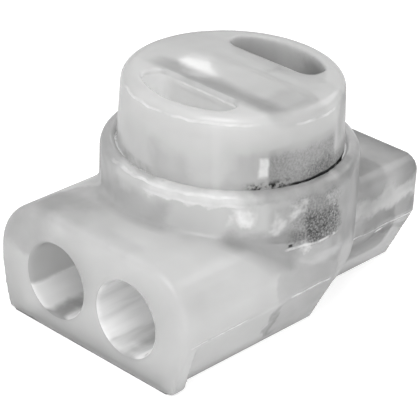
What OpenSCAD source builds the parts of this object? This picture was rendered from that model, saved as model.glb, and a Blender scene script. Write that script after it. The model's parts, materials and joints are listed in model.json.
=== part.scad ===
// Gel-filled crimp connector for two small insulated wires.
// A moulded housing takes the wires through two round ports, as far as their stops in the tail. A cap on
// top carries a folded, slotted contact plate. Pressing the cap flush pushes the slots over both wires,
// and the gel under the cap seals the joint.
// The origin is on the barrel's axis at the base plane. +Z is the cap side and the ports open towards -Y.

/* [Ports] */
// Radius of the two wire ports
port_r = 1.2; // [1.05:0.05:1.25]
// Radius of the rounded edge round each port's mouth
port_edge_r = 0.15; // [0.05:0.05:0.2]
// Distance between the axes of the two ports
port_pitch = 3.1; // [2.9:0.05:3.2]
// Height of the port axes above the base
port_z = 1.8; // [1.7:0.05:1.9]

/* [Front wing] */
// Distance from the barrel's axis to the front face
wing_front = 6; // [5.5:0.1:7]
// Width across the belt, the widest line of the wing
wing_w = 8.3; // [8.2:0.05:9]
// Height of the wing's flat top
wing_h = 4; // [3.9:0.05:4.3]
// Height of the belt
belt_z = 1.9; // [1.8:0.05:2]
// Radius of the rounded shoulders between the belt and the top
shoulder_r = 1.95; // [1.6:0.05:2.05]
// Width of the wing's base behind the front lip
wing_foot_w = 6.4; // [6.2:0.1:7]
// Distance behind the barrel's axis at which the wing ends
wing_end_y = 0.7; // [0.5:0.05:0.9]
// Radius of the edges round the front face
front_edge_r = 0.3; // [0.1:0.05:0.4]

/* [Front lip] */
// Width of the front face's base
lip_foot_w = 7.3; // [6.8:0.1:7.6]
// Depth of the lip from front to back
lip_depth = 0.5; // [0.4:0.05:0.8]
// Radius of the lip's lower corners
lip_corner_r = 0.35; // [0.2:0.05:0.45]

/* [Tail] */
// Distance from the barrel's axis to the end of the tail
tail_end_y = 5.9; // [5.2:0.1:7]
// How much shorter the tail is at its base, where the end slopes in
tail_end_slope = 0.2; // [0:0.05:0.4]
// Height of the tail's flat top
tail_h = 3.86; // [3.6:0.02:4]
// Width of the tail at the belt
tail_w = 6; // [5.9:0.1:6.6]
// Width of the tail's base
tail_foot_w = 4.3; // [4.2:0.1:5]
// Radius of the tail's upper corners
tail_corner_r = 0.5; // [0.2:0.05:0.8]
// Thickness of the tail's end, between the wires' stops and the outside
tail_end_wall = 0.8; // [0.5:0.05:1.2]

/* [Barrel] */
// Height of the barrel's rim
rim_z = 5.4; // [5.3:0.05:5.6]
// Thickness of the barrel's wall at the rim
barrel_wall = 0.46; // [0.4:0.02:0.6]
// Thickness of the barrel's floor
barrel_floor = 0.5; // [0.4:0.05:0.6]
// Radius of the rim's outer edge
rim_edge_r = 0.32; // [0.1:0.02:0.36]
// Height of the barrel's underside, which shows behind the wing
barrel_foot_z = 0.4; // [0.3:0.05:0.5]
// Radius of the barrel's lower edge
barrel_foot_r = 1.9; // [1.6:0.05:2]
// Height of the throat, the narrow ring inside the rim that holds the cap in
throat_h = 0.3; // [0.2:0.05:0.35]
// How far the bore is wider than the throat
throat_step = 0.09; // [0.06:0.01:0.12]
// Height of the well's floor, below the barrel's floor
well_floor_z = 0.9; // [0.85:0.05:1.05]

/* [Cap] */
// Radius of the cap at the rim
cap_r = 3.58; // [3.4:0.02:3.7]
// How much narrower the cap's radius is at the top
cap_draft = 0.08; // [0:0.02:0.2]
// Radial gap between the cap and the throat
cap_gap = 0.06; // [0.04:0.01:0.08]
// Travel of the cap from raised to pressed
stroke = 2.2; // [1.8:0.05:2.4]
// How far the pressed cap still stands above the rim
cap_proud = 0.02; // [0:0.02:0.2]
// Radius of the cap's top edge
cap_edge_r = 0.35; // [0.2:0.05:0.5]
// Half the width of the bar between the two recesses in the cap
bar_half_w = 1.5; // [1.3:0.05:1.6]
// Thickness of the wall round the recesses
recess_wall = 0.6; // [0.45:0.05:0.7]
// Depth of the recesses
recess_depth = 1; // [0.6:0.05:1.05]
// Radius of the recesses' corners
recess_corner_r = 0.5; // [0.3:0.05:0.55]
// Distance from the axis to the flat inner face of the cap's two guide legs
leg_x = 3.1; // [3.05:0.01:3.15]
// Height of the bead on the guide legs that catches under the throat
bead_h = 0.2; // [0.16:0.02:0.24]

/* [Contact] */
// Thickness of the contact's sheet
sheet_t = 0.35; // [0.25:0.05:0.4]
// Distance between the outer faces of the contact's two slotted plates
contact_d = 2; // [1.8:0.05:2.1]
// Distance from the axis to the outer face of the web that joins the plates
web_x = 2.85; // [2.7:0.05:2.85]
// Inner radius of the folds between the web and the plates
fold_r = 0.2; // [0.1:0.05:0.3]
// Height of the contact
contact_h = 3.9; // [3.8:0.05:3.95]
// How far the two ears beside the web end below the contact's top
ear_drop = 0.6; // [0.5:0.05:0.8]
// Distance from the axis to the plates' free edges
plate_x = 2.6; // [2.4:0.05:2.65]
// Width of the slots that grip the wires
slot_w = 0.3; // [0.2:0.05:0.4]
// Height of the slots from the plates' lower edge to their round ends
slot_h = 1.45; // [1.2:0.05:1.6]
// Width of each slot's flared mouth
mouth_w = 0.85; // [0.6:0.05:1]
// Height of each slot's flared mouth
mouth_h = 0.5; // [0.3:0.05:0.6]
// How far the front ear reaches from the axis
ear_front_y = 1.7; // [1.5:0.05:1.75]
// How far the rear ear reaches from the axis
ear_rear_y = 1.2; // [1.15:0.05:1.5]

/* [Clearances] */
// Gap between the contact's faces and the slots of the cap that hold it
slot_gap = 0.03; // [0.02:0.01:0.05]
// Gap between the pressed contact and the walls and floor of the well
well_gap = 0.1; // [0.06:0.01:0.12]
// Gap between the wires and the troughs under them in the well's floor
trough_gap = 0.05; // [0.03:0.01:0.1]
// Gap between the pressed guide legs and the barrel's floor
leg_gap = 0.05; // [0.03:0.01:0.1]
// Gap between the gel and the raised cap and contact
gel_gap = 0.05; // [0.03:0.01:0.1]

/* [Hidden] */
$fn = 96;
// How far a cut reaches past the surface that it opens
over = 0.5;
white = [0.86, 0.86, 0.84];
frost = [0.8, 0.81, 0.8];
tin = [0.62, 0.62, 0.6];
clear_gel = [0.72, 0.76, 0.76];

port_x = port_pitch / 2;
shoulder_x = wing_w / 2 - shoulder_r;
shoulder_z = wing_h - shoulder_r;
throat_r = cap_r + cap_gap;
bore_r = throat_r + throat_step;
barrel_r = throat_r + barrel_wall;
chamber_z = belt_z + barrel_floor;
throat_z = rim_z - throat_h;
cap_top_z = rim_z + stroke + cap_proud;
plunger_z = port_z + port_r + stroke;
leg_z = chamber_z + stroke + leg_gap;
bead_out = throat_step + cap_gap - leg_gap;
contact_z = well_floor_z + well_gap + stroke;
contact_top_z = contact_z + contact_h;
ear_z = contact_top_z - ear_drop;
fold_outer_r = fold_r + sheet_t;
fold_x = web_x - fold_outer_r;
fold_y = contact_d / 2 - fold_outer_r;
well_y = contact_d / 2 + well_gap;
stop_y = tail_end_y - tail_end_wall;
trough_z = port_z - port_r - trough_gap;
trough_half_w = sqrt(pow(port_r, 2) - pow(port_z - well_floor_z, 2)) + trough_gap;
gel_top_z = min(plunger_z - gel_gap, throat_z);

// Extrudes an outline of (x, z) along Y, from y0 to y1
module along_y(y0, y1) {
    translate([0, y1, 0])
        rotate([90, 0, 0])
            linear_extrude(y1 - y0)
                children();
}

// A cylinder along Y
module rod_y(x, z, r, y0, y1) {
    translate([x, y1, z])
        rotate([90, 0, 0])
            cylinder(r = r, h = y1 - y0);
}

// Extrudes an outline of (y, z) along X, to both sides of the axis
module along_x(half_w) {
    translate([-half_w, 0, 0])
        rotate([90, 0, 90])
            linear_extrude(2 * half_w)
                children();
}

// A box given by its two opposite corners
module block(low, high) {
    translate(low)
        cube(high - low);
}

// Outline of the wing below its shoulders, tapering in towards its base
module base_outline() {
    polygon([
        [-wing_foot_w / 2, 0],
        [wing_foot_w / 2, 0],
        [wing_w / 2, belt_z],
        [wing_w / 2, shoulder_z],
        [-wing_w / 2, shoulder_z],
        [-wing_w / 2, belt_z]
    ]);
}

// Outline of the front lip, whose base is wider and has round corners that touch the sloping sides
module lip_outline() {
    slope = (wing_w - lip_foot_w) / 2 / belt_z;
    stretch = sqrt(1 + slope * slope);
    corner_x = lip_foot_w / 2 + lip_corner_r * (slope - stretch);
    touch = [corner_x + lip_corner_r / stretch, lip_corner_r * (1 - slope / stretch)];
    polygon([
        [-corner_x, 0],
        [corner_x, 0],
        touch,
        [wing_w / 2, belt_z],
        [wing_w / 2, shoulder_z],
        [-wing_w / 2, shoulder_z],
        [-wing_w / 2, belt_z],
        [-touch[0], touch[1]]
    ]);
    for (s = [-1, 1])
        translate([s * corner_x, lip_corner_r])
            circle(lip_corner_r);
}

// Extrudes an outline back from the front face, keeping the face's left and right edges round
module from_front(length) {
    side = wing_w / 2;
    intersection() {
        along_y(-wing_front, -wing_front + length)
            children();
        translate([0, 0, -over])
            linear_extrude(wing_h + over) {
                translate([-side, -wing_front + front_edge_r])
                    square([wing_w, 2 * wing_front]);
                translate([-side + front_edge_r, -wing_front])
                    square([wing_w - 2 * front_edge_r, wing_front]);
                for (s = [-1, 1])
                    translate([s * (side - front_edge_r), -wing_front + front_edge_r])
                        circle(front_edge_r);
            }
    }
}

// The middle of the wing, with a flat top and a round top edge in front
module wing_middle(length) {
    along_x(shoulder_x)
        translate([-wing_front, 0]) {
            square([length, wing_h - front_edge_r]);
            translate([front_edge_r, 0])
                square([length - front_edge_r, wing_h]);
            translate([front_edge_r, wing_h - front_edge_r])
                circle(front_edge_r);
        }
}

// One round shoulder of the wing, on the side s of the axis, with the same round edge in front
module shoulder(s, length) {
    intersection() {
        translate([s * shoulder_x, -wing_front, shoulder_z])
            rotate([-90, 0, 0])
                rotate_extrude() {
                    square([shoulder_r - front_edge_r, length]);
                    translate([0, front_edge_r])
                        square([shoulder_r, length - front_edge_r]);
                    translate([shoulder_r - front_edge_r, front_edge_r])
                        circle(front_edge_r);
                }
        block(
            [s > 0 ? shoulder_x : -wing_w, -2 * wing_front, shoulder_z],
            [s > 0 ? wing_w : -shoulder_x, wing_front, 2 * wing_h]
        );
    }
}

module wing() {
    length = wing_front + wing_end_y;
    from_front(length)
        base_outline();
    from_front(lip_depth)
        lip_outline();
    wing_middle(length);
    shoulder(-1, length);
    shoulder(1, length);
}

module tail() {
    side = tail_w / 2;
    corner = [side - tail_corner_r, tail_h - tail_corner_r];
    intersection() {
        along_y(0, tail_end_y) {
            polygon([
                [-tail_foot_w / 2, 0],
                [tail_foot_w / 2, 0],
                [side, belt_z],
                [side, corner[1]],
                [corner[0], tail_h],
                [-corner[0], tail_h],
                [-side, corner[1]],
                [-side, belt_z]
            ]);
            for (s = [-1, 1])
                translate([s * corner[0], corner[1]])
                    circle(tail_corner_r);
        }
        along_x(tail_w)
            polygon([
                [-over, 0],
                [tail_end_y - tail_end_slope, 0],
                [tail_end_y, belt_z],
                [tail_end_y, wing_h + over],
                [-over, wing_h + over]
            ]);
    }
}

// A solid of revolution with a rounded rim and a large round edge below, which shows behind the wing
module barrel() {
    h = rim_z - barrel_foot_z;
    translate([0, 0, barrel_foot_z])
        rotate_extrude() {
            square([barrel_r - barrel_foot_r, h - rim_edge_r]);
            translate([0, barrel_foot_r]) {
                square([barrel_r - rim_edge_r, h - barrel_foot_r]);
                square([barrel_r, h - barrel_foot_r - rim_edge_r]);
            }
            translate([barrel_r - barrel_foot_r, barrel_foot_r])
                circle(barrel_foot_r);
            translate([barrel_r - rim_edge_r, h - rim_edge_r])
                circle(rim_edge_r);
        }
}

// The rounded funnel at a port's mouth, opening towards -Y
module port_mouth(x) {
    translate([x, -wing_front, port_z])
        rotate([-90, 0, 0])
            rotate_extrude()
                difference() {
                    translate([0, -over])
                        square([port_r + port_edge_r, port_edge_r + over]);
                    translate([port_r + port_edge_r, port_edge_r])
                        circle(port_edge_r);
                    translate([port_r, port_edge_r])
                        square(port_edge_r);
                }
}

// The two straight ways for the wires, from the front face to the stops in the tail
module wire_ways() {
    for (s = [-1, 1])
        rod_y(s * port_x, port_z, port_r, -wing_front - over, stop_y);
}

// The round chamber above the barrel's floor, below the throat
module chamber() {
    translate([0, 0, chamber_z])
        cylinder(r = bore_r, h = throat_z - chamber_z);
}

// The well under the chamber that the contact presses down into, with a trough under each wire
module well() {
    block([-plate_x - well_gap, -well_y, well_floor_z], [web_x + well_gap, well_y, chamber_z + over]);
    for (x = [-port_x, port_x])
        block([x - trough_half_w, -well_y, trough_z], [x + trough_half_w, well_y, chamber_z]);
}

module housing() {
    color(white)
        difference() {
            union() {
                wing();
                tail();
                barrel();
            }
            wire_ways();
            for (s = [-1, 1])
                port_mouth(s * port_x);
            well();
            chamber();
            translate([0, 0, throat_z - over])
                cylinder(r = throat_r, h = throat_h + 2 * over);
        }
}

// Outline of one recess in the cap: a segment of a circle with rounded corners, on the +Y side
module recess_outline() {
    r = cap_r - cap_draft - recess_wall;
    corner_y = bar_half_w + recess_corner_r;
    corner_x = sqrt(pow(r - recess_corner_r, 2) - pow(corner_y, 2));
    reach = 2 * r;
    intersection() {
        circle(r);
        translate([-r, bar_half_w])
            square([2 * r, r]);
        polygon([[0, 0], [corner_x, corner_y] * reach, [-corner_x, corner_y] * reach]);
    }
    translate([-corner_x, bar_half_w])
        square([2 * corner_x, recess_corner_r]);
    for (s = [-1, 1])
        translate([s * corner_x, corner_y])
            circle(recess_corner_r);
}

// The cap's solid of revolution: a straight foot with a bead, a drafted side and a rounded top edge
module cap_round() {
    top_r = cap_r - cap_draft;
    rotate_extrude() {
        polygon([
            [0, leg_z],
            [cap_r, leg_z],
            [cap_r, rim_z],
            [top_r, cap_top_z - cap_edge_r],
            [top_r - cap_edge_r, cap_top_z],
            [0, cap_top_z]
        ]);
        translate([top_r - cap_edge_r, cap_top_z - cap_edge_r])
            circle(cap_edge_r);
        translate([cap_r + bead_out - bead_h / 2, throat_z - leg_gap - bead_h / 2])
            circle(bead_h / 2);
    }
}

// What is cut away between the two guide legs, so that the wires can pass under the pressed cap
module leg_gap_cut() {
    block([-leg_x, -2 * cap_r, leg_z - over], [leg_x, 2 * cap_r, plunger_z]);
}

// The slots in the cap's underside that hold the contact's plates, folds, web and ears
module contact_slots() {
    inner_y = contact_d / 2 - sheet_t - slot_gap;
    outer_y = contact_d / 2 + slot_gap;
    inner_x = web_x - sheet_t - slot_gap;
    outer_x = web_x + slot_gap;
    for (y0 = [-outer_y, inner_y])
        block([-plate_x - slot_gap, y0, 0], [fold_x, y0 + outer_y - inner_y, contact_top_z]);
    for (s = [-1, 1])
        fold(s, slot_gap, 0, contact_top_z);
    block([inner_x, -fold_y, 0], [outer_x, fold_y, contact_top_z]);
    block([inner_x, -ear_front_y - slot_gap, 0], [outer_x, ear_rear_y + slot_gap, ear_z]);
}

module cap() {
    color(frost)
        difference() {
            cap_round();
            leg_gap_cut();
            contact_slots();
            for (turn = [0, 180])
                rotate(turn)
                    translate([0, 0, cap_top_z - recess_depth])
                        linear_extrude(recess_depth + over)
                            recess_outline();
        }
}

// A slot with a round end and a flared mouth, in a plate's own (x, z) outline, opening at z = contact_z
module wire_slot() {
    end_z = contact_z + slot_h - slot_w / 2;
    translate([-slot_w / 2, contact_z - over])
        square([slot_w, end_z - contact_z + over]);
    translate([0, end_z])
        circle(slot_w / 2);
    polygon([
        [-mouth_w / 2, contact_z - over],
        [mouth_w / 2, contact_z - over],
        [mouth_w / 2, contact_z],
        [0, contact_z + mouth_h],
        [-mouth_w / 2, contact_z]
    ]);
}

// One slotted plate, from its free edge to the fold, with the notch that its ear of length ear leaves
module slotted_plate(y0, ear) {
    notch = ear - fold_y - PI / 2 * (fold_r + sheet_t / 2);
    along_y(y0, y0 + sheet_t)
        difference() {
            translate([-plate_x, contact_z])
                square([plate_x + fold_x, contact_h]);
            for (s = [-1, 1])
                translate([s * port_x, 0])
                    wire_slot();
            translate([fold_x - notch, plunger_z])
                square([notch + over, ear_z - plunger_z]);
        }
}

// A quarter-round fold between a plate and the web, on the side s of the axis, with a gap added all round
module fold(s, gap, low_z, high_z) {
    reach = fold_outer_r + gap;
    translate([fold_x, s * fold_y, 0])
        intersection() {
            translate([0, 0, low_z])
                difference() {
                    cylinder(r = reach, h = high_z - low_z);
                    translate([0, 0, -over])
                        cylinder(r = fold_r - gap, h = high_z - low_z + 2 * over);
                }
            block([0, s > 0 ? 0 : -reach, low_z], [reach, s > 0 ? reach : 0, high_z]);
        }
}

// The web beside the right-hand wire, with two ears that stay flat where the plates fold away from it
module web() {
    block([web_x - sheet_t, -fold_y, contact_z], [web_x, fold_y, contact_top_z]);
    block([web_x - sheet_t, -ear_front_y, plunger_z], [web_x, ear_rear_y, ear_z]);
}

module contact_element() {
    color(tin) {
        slotted_plate(-contact_d / 2, ear_front_y);
        slotted_plate(contact_d / 2 - sheet_t, ear_rear_y);
        for (s = [-1, 1]) {
            fold(s, 0, contact_z, plunger_z);
            fold(s, 0, ear_z, contact_top_z);
        }
        web();
    }
}

// The room that the raised contact and the guide legs take up in the gel, with a small gap all round
module parts_in_gel() {
    edge = contact_d / 2 + gel_gap;
    low_z = contact_z - gel_gap;
    block([-plate_x - gel_gap, -edge, low_z], [web_x + gel_gap, -edge + sheet_t + 2 * gel_gap, rim_z]);
    block([-plate_x - gel_gap, edge - sheet_t - 2 * gel_gap, low_z], [web_x + gel_gap, edge, rim_z]);
    block([fold_x - gel_gap, -edge, low_z], [web_x + gel_gap, edge, rim_z]);
    for (s = [-1, 1])
        block([s > 0 ? leg_x - gel_gap : -bore_r, -bore_r, leg_z - gel_gap],
            [s > 0 ? bore_r : -leg_x + gel_gap, bore_r, rim_z]);
}

// Fills the chamber round the raised contact and the guide legs, and leaves the wires' ways free
module sealing_gel() {
    color(clear_gel)
        difference() {
            translate([0, 0, chamber_z])
                cylinder(r = bore_r, h = gel_top_z - chamber_z);
            wire_ways();
            parts_in_gel();
        }
}

housing();
cap();
contact_element();
sealing_gel();
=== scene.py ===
"""A gel-filled crimp connector: milky translucent housing and cap, tinned contact and clear gel.

Lengths are in millimetres, apart from those of the lamps and the floor, which are in metres. +X is the
right-hand side as seen from the ports, +Y the rear and +Z the cap's side.
"""

import json
from collections import namedtuple

import bpy
import numpy as np
from mathutils import Matrix, Vector


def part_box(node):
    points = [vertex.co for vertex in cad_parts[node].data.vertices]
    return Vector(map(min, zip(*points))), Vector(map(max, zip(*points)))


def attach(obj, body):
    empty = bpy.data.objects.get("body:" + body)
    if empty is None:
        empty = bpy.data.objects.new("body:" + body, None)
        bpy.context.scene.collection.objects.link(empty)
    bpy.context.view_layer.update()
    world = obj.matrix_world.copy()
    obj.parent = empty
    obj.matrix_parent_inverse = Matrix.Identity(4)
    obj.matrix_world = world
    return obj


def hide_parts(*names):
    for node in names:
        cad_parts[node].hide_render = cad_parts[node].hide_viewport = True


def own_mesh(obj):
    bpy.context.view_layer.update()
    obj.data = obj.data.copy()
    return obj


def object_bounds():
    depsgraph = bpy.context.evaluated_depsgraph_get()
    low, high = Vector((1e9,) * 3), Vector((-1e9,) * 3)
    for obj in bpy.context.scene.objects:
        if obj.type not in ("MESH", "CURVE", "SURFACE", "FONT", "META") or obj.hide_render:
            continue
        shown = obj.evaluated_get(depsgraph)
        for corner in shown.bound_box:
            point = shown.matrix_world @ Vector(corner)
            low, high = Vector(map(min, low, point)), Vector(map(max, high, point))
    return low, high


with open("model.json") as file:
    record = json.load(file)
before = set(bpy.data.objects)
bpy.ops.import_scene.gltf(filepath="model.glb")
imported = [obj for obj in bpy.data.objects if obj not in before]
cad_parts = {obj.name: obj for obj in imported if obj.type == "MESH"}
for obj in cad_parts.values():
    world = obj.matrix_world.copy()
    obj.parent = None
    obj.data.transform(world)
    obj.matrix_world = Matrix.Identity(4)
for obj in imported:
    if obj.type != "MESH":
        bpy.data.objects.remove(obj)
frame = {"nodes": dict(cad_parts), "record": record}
cad_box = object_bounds()

MM = 0.001

RIGHT = (1, 0, 0)
REAR = (0, 1, 0)
UP = (0, 0, 1)

# Camera, fitted to the photograph, with angles in degrees
CAMERA_AZIMUTH = 42.806
CAMERA_ELEVATION = 27.857
CAMERA_ROLL = 2.534
CAMERA_DISTANCE = 66.162
CAMERA_AIM_Z = 3.5
CAMERA_SHIFT_RIGHT = -0.544
CAMERA_SHIFT_UP = -0.669
CAMERA_LENS = 178.71
SENSOR = 36.0

# Lamps: direction from the object, then distance, width and height in metres, and power in watts
Lamp = namedtuple("Lamp", ["direction", "distance", "width", "height", "power"])
LAMPS = {
    "key": Lamp((0.2, -0.45, 0.85), 0.12, 0.06, 0.06, 0.04),
    "fill": Lamp((0.9, -0.6, 0.5), 0.16, 0.12, 0.12, 0.026),
    "rim": Lamp((0.2, 1.0, 0.7), 0.14, 0.08, 0.08, 0.025),
    "glint": Lamp((-0.663, 0.646, 0.41), 0.2, 0.009, 0.028, 0.0027),
}

# The room: its greys on the side away from the key lamp and towards it, how strongly it lights the object,
# and how bright it looks through the object's clear parts
ROOM_FAR = 0.5
ROOM_NEAR = 1.0
ROOM_LIGHT = 0.8
ROOM_THROUGH = 0.15

# The floor: half its side in metres, its grey, its grey through clear parts, and light added for the camera
FLOOR_HALF = 0.6
FLOOR_GREY = 0.8
FLOOR_THROUGH = 0.5
FLOOR_GLOW = 0.55

# Mesh detail, passes of smoothing, and how far the gel stays off its walls
PLASTIC_VOXEL = 0.08
METAL_VOXEL = 0.045
GEL_VOXEL = 0.09
SOFT_PASSES = 4
METAL_PASSES = 2
GEL_INSET = 0.03

# How far light spreads in the milky plastic, and how far around a point its hollows are looked for
GLOW_DEPTH = 1.2
HOLLOW_DEPTH = 1.5
# How deep one sees into each piece, and how bright the painted glow of the haze in it is, light of its own
HOUSING_HAZE = 1.8
CAP_HAZE = 1.0
GEL_HAZE = 2.5
HAZE_GLOW = 0.58

# Where along y the plastic goes from its front to its rear values of clearness, and of shade in hollows
CLEAR_CHANGE = (-2.0, 0.5)
SHADE_CHANGE = (-1.0, 1.0)
# The heights between which the plastic gets less clear, and by how much
CLOUDY_CHANGE = (5.8, 7.2)
CLOUDY_TOP = 0.35
# How much the cap's top is domed at a distance from the axis
DOME_FALL = 0.25
DOME_RADIUS = 3.5

# The wire ways, from the right-hand port: their places, a radius just over theirs, and where their paint
# ends
WAY_MARGIN = 0.07
right_port = next(mount for mount in frame["record"]["mounts"] if mount["name"] == "right_port")
WAY_X = right_port["pos_m"][0] / MM
WAY_Z = right_port["pos_m"][2] / MM
WAY_RADIUS = right_port["dims"]["r_mm"] + WAY_MARGIN
WAY_END = 5.2
WAY_FADE = 0.2

# Where the contact gets painted shade, dark and grainy: its web, and the front plate's upper edge along a
# slanting direction
WEB_RIGHT = (2.2, 2.5)
WEB_TOP = (6.5, 6.4)
WEB_FRONT = (-1.5, -1.4)
EDGE_HEIGHT = (6.95, 7.05)
EDGE_TOWARD = (0.5, -1, 0)
EDGE_REACH = (0.3, 0.6)

# Faces that gel wets: the largest distances from the axis and from it along y, the bottom and the top
WET = "wet"
Zone = namedtuple("Zone", ["radius", "side", "bottom", "top"])
HOUSING_WET = [Zone(3.8, 3.8, 2.35, 5.1), Zone(3.2, 1.15, 0.5, 2.45)]
CAP_WET = [Zone(3.4, 3.4, 4.5, 6.54), Zone(3.0, 1.1, 4.5, 7.15)]

# Paint: its greys, and how far the places of each kind of patch are warped
DARK = 0.03
DARKEST = 0.01
BRIGHT = 1.0
SOFT_PATCH_WARP = 0.6
WING_WARP = 0.3
TOP_WARP = 0.15
LINE_WARP = 0.12
WAY_WARP = 0.08
EDGE_WARP = 0.04
WARP_SCALE = 1.3
# Distances from the axis between which the barrel's paint fades, and heights that mark the two tops
BARREL_FADE = (4.2, 4.6)
WING_TOP = (3.6, 3.9)
CAP_TOP = (7.4, 7.5)
# Streaks in the wire ways run along y
WAY_STREAKS = (1, 0.12, 1)

# A soft patch of paint: its ranges along two coordinates and how soft their ends are, the scale of its noise
# in cycles per millimetre, the noise values where it starts and is full, and its strength. Where nothing
# else is said, the coordinates are the angle round the barrel's axis in degrees, 0 at the right and -90 at
# the front, and the height
Patch = namedtuple("Patch", ["first", "second", "soft", "scale", "grain", "strength"])

# Grains over the contact's web, and shade on the barrel's foot
BARREL_DARK = [
    Patch((-15, 5), (3.7, 4.9), (8, 0.4), 14.0, (0.25, 0.75), 0.5),
    Patch((-8, 6), (3.6, 4.3), (6, 0.35), 14.0, (0.3, 0.65), 0.75),
    Patch((-17, -4), (3.5, 3.8), (5, 0.25), 14.0, (0.3, 0.7), 0.5),
    Patch((-46, -20), (3.0, 3.9), (8, 0.35), 0.8, (-0.1, 0.5), 0.3),
    Patch((-75, -46), (3.0, 3.9), (9, 0.3), 0.8, (0.0, 0.6), 0.14),
    Patch((-103, -78), (3.0, 4.6), (9, 0.4), 0.8, (0.0, 0.6), 0.24),
]
# Painted shade on the housing's left-hand side, tail, right-hand side and rim
HOUSING_DARK = [
    Patch((-164, -113), (2.4, 5.4), (12, 0.4), 0.7, (0.0, 0.6), 0.27),
    Patch((14, 48), (2.8, 5.2), (10, 0.4), 0.7, (0.0, 0.6), 0.34),
    Patch((60, 120), (3.0, 3.9), (12, 0.4), 0.7, (-0.1, 0.6), 0.36),
    Patch((-25, 12), (0.4, 2.6), (2.5, 0.3), 0.8, (0.0, 0.6), 0.16),
    Patch((-28, -24), (0.5, 1.5), (2, 0.3), 1.5, (0.1, 0.5), 0.3),
    Patch((50, 66), (2.15, 2.4), (5, 0.2), 0.8, (0.0, 0.5), 0.28),
    Patch((-36, 32), (5.1, 5.5), (6, 0.15), 2.5, (0.2, 0.7), 0.2),
    Patch((55, 66), (1.45, 1.6), (4, 0.15), 0.8, (0.0, 0.5), 0.25),
]
# Painted gleams in the gel behind the barrel's side, and painted highlights on the rim, the tail and the
# left-hand side
HOUSING_BRIGHT = [
    Patch((-43, -39), (4.5, 4.8), (5, 0.25), 2.0, (0.15, 0.55), 0.85),
    Patch((-27, -25), (4.2, 4.55), (3.5, 0.25), 2.0, (0.2, 0.6), 0.6),
    Patch((-17, -14), (4.55, 4.8), (5, 0.2), 3.0, (0.3, 0.6), 0.5),
    Patch((-14, -11), (3.15, 3.25), (3, 0.12), 3.0, (0.3, 0.6), 0.6),
    Patch((-78, -44), (5.0, 5.5), (9, 0.1), 1.2, (0.1, 0.6), 0.35),
    Patch((46, 66), (2.75, 3.0), (6, 0.3), 0.8, (0.0, 0.6), 0.4),
    Patch((-136, -126), (3.2, 4.2), (6, 0.4), 0.8, (0.0, 0.6), 0.25),
]
# Painted highlights: thin lines below the grains, on the rim and on the belt, and a glint on the tail
HOUSING_LINES = [
    Patch((-18, 5), (3.4, 3.43), (5, 0.05), 2.0, (0.35, 0.55), 0.7),
    Patch((-80, -42), (5.02, 5.06), (9, 0.05), 1.0, (0.35, 0.6), 0.45),
    Patch((-104, -48), (5.27, 5.3), (9, 0.04), 1.0, (0.35, 0.65), 0.5),
    Patch((-53, -40), (1.85, 1.87), (2, 0.03), 1.5, (0.3, 0.55), 0.6),
    Patch((-17, 3), (1.87, 1.9), (3, 0.04), 1.5, (0.3, 0.55), 0.8),
    Patch((44, 64), (1.85, 1.88), (3, 0.03), 1.5, (0.3, 0.55), 0.6),
    Patch((54.5, 55.5), (1.68, 1.74), (0.8, 0.04), 1.0, (-1.0, 0.2), 0.9),
]
# A painted shadow as a dark line along the foot of the front, and a speck of gel below the grains
HOUSING_SPECKS = [
    Patch((-135, -60), (-1.0, 0.02), (3, 0.04), 1.0, (0.0, 0.4), 0.5),
    Patch((-19.8, -18.8), (3.5, 3.56), (0.8, 0.04), 1.0, (-1.0, 0.2), 0.9),
]
# Faint painted shade near the front edge of the wing's top, by x and y
WING_DARK = [
    Patch((-2.3, -1.4), (-5.6, -4.9), (1.1, 0.7), 0.5, (-0.5, 0.6), 0.17),
    Patch((0.4, 1.2), (-5.7, -5.4), (0.9, 0.4), 0.5, (-0.5, 0.6), 0.1),
]
# Painted shade on the walls of the wire ways, by x and z: in the left one, in streaks in the right one, and
# on both floors
WAY_DARK = [
    Patch((-3.0, -0.3), (1.3, 3.2), (0.2, 0.1), 0.8, (-0.3, 0.4), 0.26),
    Patch((0.3, 3.0), (0.9, 3.2), (0.2, 0.3), 1.6, (0.52, 0.64), 0.25),
    Patch((-3.0, 3.0), (0.4, 0.6), (0.2, 0.05), 0.8, (0.0, 0.5), 0.3),
]
# Light in the wire ways, by x and z: low in the left one, and streaks and the inner wall of the right one
WAY_BRIGHT = [
    Patch((-3.0, -0.3), (0.7, 1.15), (0.2, 0.1), 0.8, (-0.2, 0.6), 0.65),
    Patch((0.3, 3.0), (0.75, 2.5), (0.2, 0.3), 1.6, (0.75, 0.37), 1.0),
    Patch((0.2, 0.8), (0.7, 2.2), (0.15, 0.3), 0.8, (-0.3, 0.5), 0.5),
]
# Grains on the cap's side, faint dark patches on its front, and painted shade on its rear right
CAP_DARK = [
    Patch((-25, 10), (5.5, 6.3), (7, 0.3), 14.0, (0.2, 0.75), 0.42),
    Patch((-2, 20), (5.4, 5.75), (9, 0.3), 14.0, (0.25, 0.7), 0.55),
    Patch((-87, -73), (5.5, 6.2), (8, 0.4), 1.0, (0.0, 0.6), 0.16),
    Patch((-45, -36), (5.5, 6.3), (6, 0.4), 1.0, (0.0, 0.6), 0.16),
    Patch((26, 80), (5.2, 7.2), (12, 0.4), 0.7, (0.0, 0.6), 0.34),
]
# Painted shade in the gap at the rim: a ragged clot, a thin line and faint smudges on the left
CAP_SEAM = [
    Patch((-35, -20), (5.38, 5.42), (7, 0.22), 5.0, (0.44, 0.58), 0.95),
    Patch((-14, 42), (5.2, 5.36), (6, 0.06), 1.5, (0.25, 0.4), 0.95),
    Patch((-112, -92), (5.2, 5.5), (6, 0.1), 4.0, (0.35, 0.65), 0.2),
]
# Painted highlights: a bright bar beside the grains, and broken lines along the edge of the top
CAP_LINES = [
    Patch((-33.0, -29.5), (5.8, 6.25), (2, 0.15), 2.0, (0.0, 0.6), 0.65),
    Patch((-112, -44), (7.41, 7.43), (12, 0.05), 1.2, (0.3, 0.65), 0.6),
    Patch((-12, 13), (7.25, 7.28), (4, 0.05), 1.2, (0.3, 0.6), 0.6),
]
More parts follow.
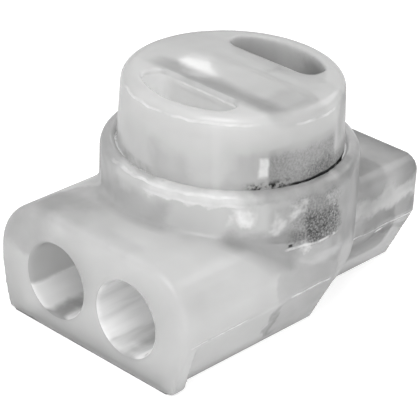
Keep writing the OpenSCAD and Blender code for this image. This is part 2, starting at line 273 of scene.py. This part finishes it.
# The cap's top, by x and y: painted shade along the contact's upper edge behind the front recess, its turn
# at the right, and a faint shade on the bar between the recesses
TOP_DARK = [
    Patch((-1.7, 2.4), (-1.3, -1.0), (0.9, 0.45), 0.6, (-0.2, 0.5), 0.3),
    Patch((2.2, 2.8), (-1.1, 0.0), (0.5, 0.6), 0.6, (-0.2, 0.5), 0.15),
    Patch((-3.0, 3.0), (-1.4, 1.4), (0.6, 0.3), 0.5, (-0.5, 0.5), 0.07),
]
# Painted highlights on the edges of the bar between the recesses, by x and y
TOP_BRIGHT = [
    Patch((-1.3, 1.3), (1.45, 1.5), (0.3, 0.05), 1.0, (0.1, 0.6), 0.5),
    Patch((-1.3, 1.3), (-1.5, -1.46), (0.3, 0.04), 1.0, (0.3, 0.6), 0.2),
]
# A painted highlight at the left-hand end of the front recess, and painted light on its pale floor, by x and
# y
RECESS_BRIGHT = [
    Patch((-1.75, -1.6), (-2.6, -1.5), (0.5, 0.25), 0.8, (0.0, 0.6), 0.5),
    Patch((-1.6, 1.8), (-2.8, -1.5), (0.6, 0.2), 0.8, (0.0, 0.8), 0.3),
]


def make_camera():
    azimuth, elevation, roll = np.radians([CAMERA_AZIMUTH, CAMERA_ELEVATION, CAMERA_ROLL])
    back = Vector((
        np.sin(azimuth) * np.cos(elevation),
        -np.cos(azimuth) * np.cos(elevation),
        np.sin(elevation),
    ))
    level = Vector((np.cos(azimuth), np.sin(azimuth), 0))
    upright = back.cross(level)
    right = np.cos(roll) * level + np.sin(roll) * upright
    up = -np.sin(roll) * level + np.cos(roll) * upright
    place = Vector((0, 0, CAMERA_AIM_Z))
    place += CAMERA_SHIFT_RIGHT * level + CAMERA_SHIFT_UP * upright + CAMERA_DISTANCE * back
    data = bpy.data.cameras.new("camera")
    data.sensor_width = SENSOR
    data.lens = CAMERA_LENS
    data.clip_start = 1 * MM
    data.clip_end = 2
    camera = bpy.data.objects.new("camera", data)
    bpy.context.scene.collection.objects.link(camera)
    turn = Matrix((right, up, back)).transposed()
    camera.matrix_world = Matrix.Translation(place * MM) @ turn.to_4x4()
    bpy.context.scene.camera = camera


def make_lamps():
    """Soft rectangular lamps, all aimed at the middle of the object."""
    middle = (cad_box[0] + cad_box[1]) / 2
    for name, values in LAMPS.items():
        data = bpy.data.lights.new(name, "AREA")
        data.shape = "RECTANGLE"
        data.size = values.width
        data.size_y = values.height
        data.energy = values.power
        lamp = bpy.data.objects.new(name, data)
        bpy.context.scene.collection.objects.link(lamp)
        direction = Vector(values.direction).normalized()
        lamp.location = middle + direction * values.distance
        lamp.rotation_mode = "QUATERNION"
        lamp.rotation_quaternion = direction.to_track_quat("Z", "Y")
        lamp.visible_transmission = False


def grey(value):
    """The colour whose red, green and blue are all the value."""
    return (value, value, value)


def node(tree, kind, **inputs):
    """A new shader node with the given plain input values."""
    made = tree.nodes.new(kind)
    for name, value in inputs.items():
        made.inputs[name.replace("_", " ")].default_value = value
    return made


def feed(tree, socket, value):
    """Gives an input socket a plain value, or links it to another node's output."""
    if isinstance(value, bpy.types.NodeSocket):
        tree.links.new(value, socket)
    else:
        socket.default_value = value


def combined(tree, operation, *values):
    """Numbers through a math node."""
    made = tree.nodes.new("ShaderNodeMath")
    made.operation = operation
    for socket, value in zip(made.inputs, values):
        feed(tree, socket, value)
    return made.outputs[0]


def product(tree, first, *others):
    for other in others:
        first = combined(tree, "MULTIPLY", first, other)
    return first


def reverse(tree, value):
    """1 minus the value."""
    return combined(tree, "SUBTRACT", 1.0, value)


def vector(tree, operation, *values, output="Vector"):
    """Vectors through a vector math node."""
    made = tree.nodes.new("ShaderNodeVectorMath")
    made.operation = operation
    for socket, value in zip(made.inputs, values):
        feed(tree, socket, value)
    return made.outputs[output]


def own_place(tree):
    """Places in the object's own space, in metres."""
    return tree.nodes.new("ShaderNodeTexCoord").outputs["Object"]


def rising(tree, value, start, end, full=1.0, curve="SMOOTHSTEP"):
    """Goes from 0 to full while the value goes from start to end."""
    made = node(tree, "ShaderNodeMapRange", From_Min=start, From_Max=end, To_Max=full)
    made.interpolation_type = curve
    tree.links.new(value, made.inputs["Value"])
    return made.outputs["Result"]


def between(tree, value, low, high, soft):
    """1 where the value lies between low and high, with soft ends."""
    return product(tree, rising(tree, value, low - soft, low), rising(tree, value, high + soft, high))


def along(tree, direction, start, end):
    """Goes from 0 to 1 between two distances from the origin along a direction."""
    distance = vector(tree, "DOT_PRODUCT", own_place(tree), direction, output="Value")
    return rising(tree, distance, start * MM, end * MM)


def near_axis(tree, inner, outer):
    """Falls from 1 to 0 between two distances from the barrel's axis."""
    flat = vector(tree, "MULTIPLY", own_place(tree), (1, 1, 0))
    radius = vector(tree, "LENGTH", flat, output="Value")
    return rising(tree, radius, outer * MM, inner * MM, curve="LINEAR")


def in_wire_way(tree):
    """1 on the walls of both wire ways."""
    either = vector(tree, "ABSOLUTE", own_place(tree))
    across = vector(tree, "MULTIPLY_ADD", either, (1 / MM, 0, 1 / MM), (-WAY_X, 0, -WAY_Z))
    radius = vector(tree, "LENGTH", across, output="Value")
    inside = combined(tree, "LESS_THAN", radius, WAY_RADIUS)
    return product(tree, inside, along(tree, REAR, WAY_END, WAY_END - WAY_FADE))


def places(tree, warped):
    """Places as x, y and z, warped for uneven ends by up to so much, and by three quarters of it in z."""
    place = own_place(tree)
    warp = node(tree, "ShaderNodeTexNoise", Scale=WARP_SCALE / MM, Detail=3.0)
    tree.links.new(place, warp.inputs["Vector"])
    spread = warped * Vector((1, 1, 0.75))
    shift = vector(tree, "MULTIPLY_ADD", warp.outputs["Color"], 2 * spread, -spread)
    parts = tree.nodes.new("ShaderNodeSeparateXYZ")
    tree.links.new(vector(tree, "MULTIPLY_ADD", place, grey(1 / MM), shift), parts.inputs[0])
    return parts.outputs


def around(tree, warped):
    """The angle round the barrel's axis in degrees, 0 at the right and -90 at the front, and the height."""
    x, y, z = places(tree, warped)
    return product(tree, combined(tree, "ARCTAN2", y, x), 180 / np.pi), z


def noise(tree, scale, detail=2.0, stretch=(1, 1, 1)):
    """Noise in the object's own space, by cycles per millimetre, finer along an axis by its stretch."""
    texture = node(tree, "ShaderNodeTexNoise", Scale=scale / MM, Detail=detail)
    tree.links.new(vector(tree, "MULTIPLY", own_place(tree), stretch), texture.inputs["Vector"])
    return texture.outputs["Fac"]


def ramp(tree, source, low, high, start=0.3, end=0.7):
    """Goes from the colour low to the colour high while the source goes from start to end."""
    made = tree.nodes.new("ShaderNodeValToRGB")
    first, last = made.color_ramp.elements
    first.position = start
    first.color = (*low, 1)
    last.position = end
    last.color = (*high, 1)
    tree.links.new(source, made.inputs[0])
    return made.outputs[0]


def bump(tree, height, strength, distance, under=None):
    """Normals of bumps, the height times the distance, on top of the normals under."""
    made = node(tree, "ShaderNodeBump", Strength=strength, Distance=distance * MM)
    tree.links.new(height, made.inputs["Height"])
    if under:
        tree.links.new(under, made.inputs["Normal"])
    return made.outputs["Normal"]


def dome(tree):
    """Normals of the cap's gently domed top."""
    flat = vector(tree, "MULTIPLY", own_place(tree), (1 / MM, 1 / MM, 0))
    square = vector(tree, "DOT_PRODUCT", flat, flat, output="Value")
    return bump(tree, product(tree, square, -DOME_FALL / DOME_RADIUS ** 2), 1.0, 1.0)


def layered(tree, factor, first, second):
    """The first shader, going over to the second as the factor rises to 1."""
    made = tree.nodes.new("ShaderNodeMixShader")
    tree.links.new(factor, made.inputs[0])
    tree.links.new(first.outputs[0], made.inputs[1])
    tree.links.new(second.outputs[0], made.inputs[2])
    return made


def added(tree, first, second):
    """The sum of two shaders."""
    made = tree.nodes.new("ShaderNodeAddShader")
    tree.links.new(first.outputs[0], made.inputs[0])
    tree.links.new(second.outputs[0], made.inputs[1])
    return made


def by_ray(tree, light, through, seen):
    """One shader as light, a second as seen through clear parts and a third as the camera sees it."""
    path = tree.nodes.new("ShaderNodeLightPath")
    clear = layered(tree, path.outputs["Is Transmission Ray"], light, through)
    return layered(tree, path.outputs["Is Camera Ray"], clear, seen)


def make_world():
    """White to the camera. As light, a room that is brighter on the key lamp's side than opposite it."""
    world = bpy.data.worlds.new("studio")
    bpy.context.scene.world = world
    world.use_nodes = True
    tree = world.node_tree
    tree.nodes.clear()
    output = tree.nodes.new("ShaderNodeOutputWorld")
    toward = tree.nodes.new("ShaderNodeTexCoord").outputs["Generated"]
    key = Vector(LAMPS["key"].direction).normalized()
    facing = vector(tree, "DOT_PRODUCT", toward, key, output="Value")
    room = ramp(tree, facing, grey(ROOM_FAR), grey(ROOM_NEAR), 0.0, 1.0)
    light = node(tree, "ShaderNodeBackground", Strength=ROOM_LIGHT)
    tree.links.new(room, light.inputs["Color"])
    through = node(tree, "ShaderNodeBackground", Strength=ROOM_THROUGH)
    tree.links.new(room, through.inputs["Color"])
    seen = node(tree, "ShaderNodeBackground", Color=(1, 1, 1, 1), Strength=1.0)
    tree.links.new(by_ray(tree, light, through, seen).outputs[0], output.inputs["Surface"])


def floor_material():
    """Pale floor: plain diffuse, with enough added light for the camera that only a close shadow shows."""
    material = bpy.data.materials.new("floor")
    material.use_nodes = True
    tree = material.node_tree
    tree.nodes.clear()
    output = tree.nodes.new("ShaderNodeOutputMaterial")
    surface = node(tree, "ShaderNodeBsdfDiffuse", Color=(*grey(FLOOR_GREY), 1))
    through = node(tree, "ShaderNodeBsdfDiffuse", Color=(*grey(FLOOR_THROUGH), 1))
    glow = node(tree, "ShaderNodeEmission", Color=(1, 1, 1, 1), Strength=FLOOR_GLOW)
    seen = added(tree, surface, glow)
    tree.links.new(by_ray(tree, surface, through, seen).outputs[0], output.inputs["Surface"])
    return material


def make_floor():
    mesh = bpy.data.meshes.new("floor")
    corners = [(-1, -1, 0), (1, -1, 0), (1, 1, 0), (-1, 1, 0)]
    mesh.from_pydata([FLOOR_HALF * Vector(corner) for corner in corners], [], [(0, 1, 2, 3)])
    floor = bpy.data.objects.new("floor", mesh)
    bpy.context.scene.collection.objects.link(floor)
    mesh.materials.append(floor_material())


def principled(name, **inputs):
    """A material whose Principled shader has the given plain input values."""
    material = bpy.data.materials.new(name)
    material.use_nodes = True
    shader = material.node_tree.nodes["Principled BSDF"]
    for key, value in inputs.items():
        shader.inputs[key.replace("_", " ")].default_value = value
    return material, material.node_tree, shader


def haze(tree, depth):
    """Fills the inside with a veil that hides what lies deeper than the depth, and gives the veil a painted
    glow, light of its own.
    """
    density = 1 / (depth * MM)
    veil = node(tree, "ShaderNodeVolumeAbsorption", Color=(0, 0, 0, 1), Density=density)
    inside = node(tree, "ShaderNodeEmission", Color=(1, 1, 1, 1), Strength=HAZE_GLOW * density)
    tree.links.new(added(tree, veil, inside).outputs[0], tree.nodes["Material Output"].inputs["Volume"])


def painted(tree, shader, level, where, patches, within=None, stretch=(1, 1, 1)):
    """Patches of a grey level over the shader, at two coordinates, where the factor within is 1."""
    first, second = where
    paint = node(tree, "ShaderNodeBsdfDiffuse", Color=(*grey(level), 1))
    for patch in patches:
        area = product(
            tree,
            between(tree, first, *patch.first, patch.soft[0]),
            between(tree, second, *patch.second, patch.soft[1]),
        )
        if within:
            area = product(tree, area, within)
        grains = noise(tree, patch.scale, 3.0, stretch)
        amount = rising(tree, grains, *patch.grain, full=patch.strength, curve="LINEAR")
        shader = layered(tree, product(tree, amount, area), shader, paint)
    return shader


def housing_paint(tree, shader):
    way = in_wire_way(tree)
    outside = reverse(tree, way)
    barrel = product(tree, outside, near_axis(tree, *BARREL_FADE))
    # Places for the soft patches: grains, painted shade and painted highlights
    clouds = around(tree, SOFT_PATCH_WARP)
    shader = painted(tree, shader, DARK, clouds, BARREL_DARK, barrel)
    shader = painted(tree, shader, DARK, clouds, HOUSING_DARK, outside)
    shader = painted(tree, shader, BRIGHT, clouds, HOUSING_BRIGHT, outside)
    x, y, _ = places(tree, WING_WARP)
    shader = painted(tree, shader, DARK, (x, y), WING_DARK, along(tree, UP, *WING_TOP))
    lines = around(tree, LINE_WARP)
    shader = painted(tree, shader, BRIGHT, lines, HOUSING_LINES, outside)
    shader = painted(tree, shader, DARK, lines, HOUSING_SPECKS, outside)
    x, _, z = places(tree, WAY_WARP)
    shader = painted(tree, shader, DARK, (x, z), WAY_DARK, way, WAY_STREAKS)
    return painted(tree, shader, BRIGHT, (x, z), WAY_BRIGHT, way, WAY_STREAKS)


def cap_paint(tree, shader):
    lines = around(tree, LINE_WARP)
    shader = painted(tree, shader, DARK, around(tree, SOFT_PATCH_WARP), CAP_DARK)
    shader = painted(tree, shader, DARKEST, lines, CAP_SEAM)
    shader = painted(tree, shader, BRIGHT, lines, CAP_LINES)
    top = along(tree, UP, *CAP_TOP)
    x, y, _ = places(tree, TOP_WARP)
    shader = painted(tree, shader, DARK, (x, y), TOP_DARK, top)
    x, y, _ = places(tree, EDGE_WARP)
    shader = painted(tree, shader, BRIGHT, (x, y), TOP_BRIGHT, top)
    return painted(tree, shader, BRIGHT, (x, y), RECESS_BRIGHT, reverse(tree, top))


def milky_plastic(name, colours, clear, shade, depth, paint, domed=False):
    """Translucent moulded plastic: a glowing skin that one sees into, over a haze with a painted glow.

    Its colour drifts between the two colours. Its clearness and the painted shade in its hollows go from a
    front to a rear value. Faces marked wet hardly show. The function paint adds marks to the skin: grains,
    painted shade and painted highlights.
    """
    material, tree, shader = principled(
        name,
        IOR=1.46,
        Subsurface_Weight=1.0,
        Subsurface_Radius=(1, 1, 1),
        Subsurface_Scale=GLOW_DEPTH * MM,
        Coat_Weight=0.4,
        Coat_Roughness=0.3,
    )
    tree.links.new(ramp(tree, noise(tree, 0.45), *colours), shader.inputs["Base Color"])
    tree.links.new(ramp(tree, noise(tree, 1.4), grey(0.08), grey(0.14)), shader.inputs["Roughness"])

    front_clear, rear_clear = clear
    clearness = ramp(tree, along(tree, REAR, *CLEAR_CHANGE), grey(front_clear), grey(rear_clear), 0.0, 1.0)
    cloudiness = product(tree, along(tree, UP, *CLOUDY_CHANGE), CLOUDY_TOP)
    tree.links.new(product(tree, clearness, reverse(tree, cloudiness)), shader.inputs["Transmission Weight"])

    waves = bump(tree, noise(tree, 0.4, detail=1.0), 1.0, 0.04, dome(tree) if domed else None)
    skin = bump(tree, noise(tree, 1.6), 1.0, 0.006, waves)
    tree.links.new(skin, shader.inputs["Normal"])

    # Painted shade: a dull dark diffuse laid over the hollows that ambient occlusion finds, from the front
    # to the rear amount
    hollow = node(tree, "ShaderNodeAmbientOcclusion", Distance=HOLLOW_DEPTH * MM)
    hollow.samples = 8
    hollow.only_local = True
    front_shade, rear_shade = shade
    amount = ramp(tree, along(tree, REAR, *SHADE_CHANGE), grey(front_shade), grey(rear_shade), 0.0, 1.0)
    dull = node(tree, "ShaderNodeBsdfDiffuse", Color=(*grey(0.05), 1))
    shaded = layered(tree, product(tree, reverse(tree, hollow.outputs["AO"]), amount), shader, dull)

    wet = tree.nodes.new("ShaderNodeAttribute")
    wet.attribute_name = WET
    inner = node(tree, "ShaderNodeBsdfGlass", Color=(1, 1, 1, 1), Roughness=0.05, IOR=1.04)
    surface = layered(tree, wet.outputs["Fac"], paint(tree, shaded), inner)
    tree.links.new(surface.outputs[0], tree.nodes["Material Output"].inputs["Surface"])
    haze(tree, depth)
    return material


def housing_plastic():
    return milky_plastic(
        "housing_plastic",
        colours=((0.8, 0.8, 0.795), (0.93, 0.93, 0.925)),
        clear=(0.6, 0.8),
        shade=(0.15, 0.3),
        depth=HOUSING_HAZE,
        paint=housing_paint,
    )


def cap_plastic():
    return milky_plastic(
        "cap_plastic",
        colours=((0.7, 0.7, 0.695), (0.84, 0.84, 0.835)),
        clear=(0.6, 0.65),
        shade=(0.0, 0.75),
        depth=CAP_HAZE,
        paint=cap_paint,
        domed=True,
    )


def tinned_metal():
    """Bright tin plating, with painted shade, dark and grainy, on the web and along the front plate's upper
    edge.
    """
    material, tree, shader = principled("tinned_metal", Metallic=1.0)
    on_right = along(tree, RIGHT, *WEB_RIGHT)
    web = product(tree, on_right, along(tree, UP, *WEB_TOP), along(tree, REAR, *WEB_FRONT))
    front_edge = product(tree, along(tree, UP, *EDGE_HEIGHT), along(tree, EDGE_TOWARD, *EDGE_REACH))
    # Painted shade, dark and grainy, for the web and the front plate's upper edge
    painted_shade = ramp(tree, noise(tree, 6.0, detail=4.0), grey(0.02), (0.3, 0.3, 0.29), 0.42, 0.62)
    plating = ramp(tree, noise(tree, 3.0), (0.88, 0.88, 0.87), (0.98, 0.98, 0.97))
    colour = tree.nodes.new("ShaderNodeMix")
    colour.data_type = "RGBA"
    tree.links.new(combined(tree, "MAXIMUM", web, front_edge), colour.inputs["Factor"])
    tree.links.new(plating, colour.inputs["A"])
    tree.links.new(painted_shade, colour.inputs["B"])
    tree.links.new(colour.outputs["Result"], shader.inputs["Base Color"])
    tree.links.new(ramp(tree, noise(tree, 6.0), grey(0.28), grey(0.5)), shader.inputs["Roughness"])
    tree.links.new(bump(tree, noise(tree, 8.0, detail=4.0), 0.5, 0.02), shader.inputs["Normal"])
    return material


def clear_gel():
    """Soft clear gel that nearly matches the plastic, with faint clouds, over a haze with a painted glow."""
    material, tree, shader = principled("clear_gel", IOR=1.08, Transmission_Weight=1.0, Roughness=0.08)
    clouds = ramp(tree, noise(tree, 0.8), (0.9, 0.91, 0.91), grey(0.98))
    tree.links.new(clouds, shader.inputs["Base Color"])
    haze(tree, GEL_HAZE)
    return material


def softened(source, name, voxel, passes, inset):
    """A copy of a CAD node with its edges rounded, kept inside the node's own box."""
    low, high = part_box(source)
    mesh = frame["nodes"][source].data.copy()
    mesh.materials.clear()
    mesh.transform(Matrix.Scale(1 / MM, 4))
    work = bpy.data.objects.new(name + "_work", mesh)
    bpy.context.scene.collection.objects.link(work)
    if inset:
        shrink = work.modifiers.new("shrink", "DISPLACE")
        shrink.strength = -inset
        shrink.mid_level = 0.0
    remesh = work.modifiers.new("remesh", "REMESH")
    remesh.mode = "VOXEL"
    remesh.voxel_size = voxel
    relax = work.modifiers.new("relax", "SMOOTH")
    relax.factor = 0.5
    relax.iterations = passes
    depsgraph = bpy.context.evaluated_depsgraph_get()
    made = bpy.data.meshes.new_from_object(work.evaluated_get(depsgraph))
    bpy.data.objects.remove(work)
    made.transform(Matrix.Scale(MM, 4))
    points = np.empty(len(made.vertices) * 3, np.float32)
    made.vertices.foreach_get("co", points)
    points = np.clip(points.reshape(-1, 3), np.array(low), np.array(high))
    made.vertices.foreach_set("co", points.ravel())
    made.polygons.foreach_set("use_smooth", [True] * len(made.polygons))
    made.update()
    made.name = name
    piece = bpy.data.objects.new(name, made)
    bpy.context.scene.collection.objects.link(piece)
    return piece


def dress(source, name, body, material, voxel, passes, inset=0.0):
    """Puts a softened copy with its material in the CAD node's place."""
    piece = softened(source, name, voxel, passes, inset)
    piece.data.materials.append(material)
    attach(piece, body)
    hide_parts(source)
    return piece


def wet_faces(piece, zones):
    """Marks the faces that gel touches."""
    mesh = piece.data
    centres = np.empty(len(mesh.polygons) * 3, np.float32)
    mesh.polygons.foreach_get("center", centres)
    x, y, z = centres.reshape(-1, 3).T / MM
    inside = np.zeros(len(x), bool)
    for zone in zones:
        near = (np.hypot(x, y) < zone.radius) & (abs(y) < zone.side)
        inside |= near & (z > zone.bottom) & (z < zone.top)
    marks = mesh.attributes.new(WET, "FLOAT", "FACE")
    marks.data.foreach_set("value", inside.astype(np.float32))


make_camera()
make_world()
make_lamps()
make_floor()

housing = dress("housing", "moulded_housing", "housing", housing_plastic(),
                PLASTIC_VOXEL, SOFT_PASSES)
wet_faces(housing, HOUSING_WET)
cap = dress("cap", "moulded_cap", "plunger", cap_plastic(), PLASTIC_VOXEL, SOFT_PASSES)
wet_faces(cap, CAP_WET)
dress("contact_element", "folded_contact", "plunger", tinned_metal(),
      METAL_VOXEL, METAL_PASSES)
gel = dress("sealing_gel", "soft_gel", "housing", clear_gel(), GEL_VOXEL, SOFT_PASSES, GEL_INSET)
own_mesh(gel)

bpy.context.scene.view_settings.view_transform = "Standard"
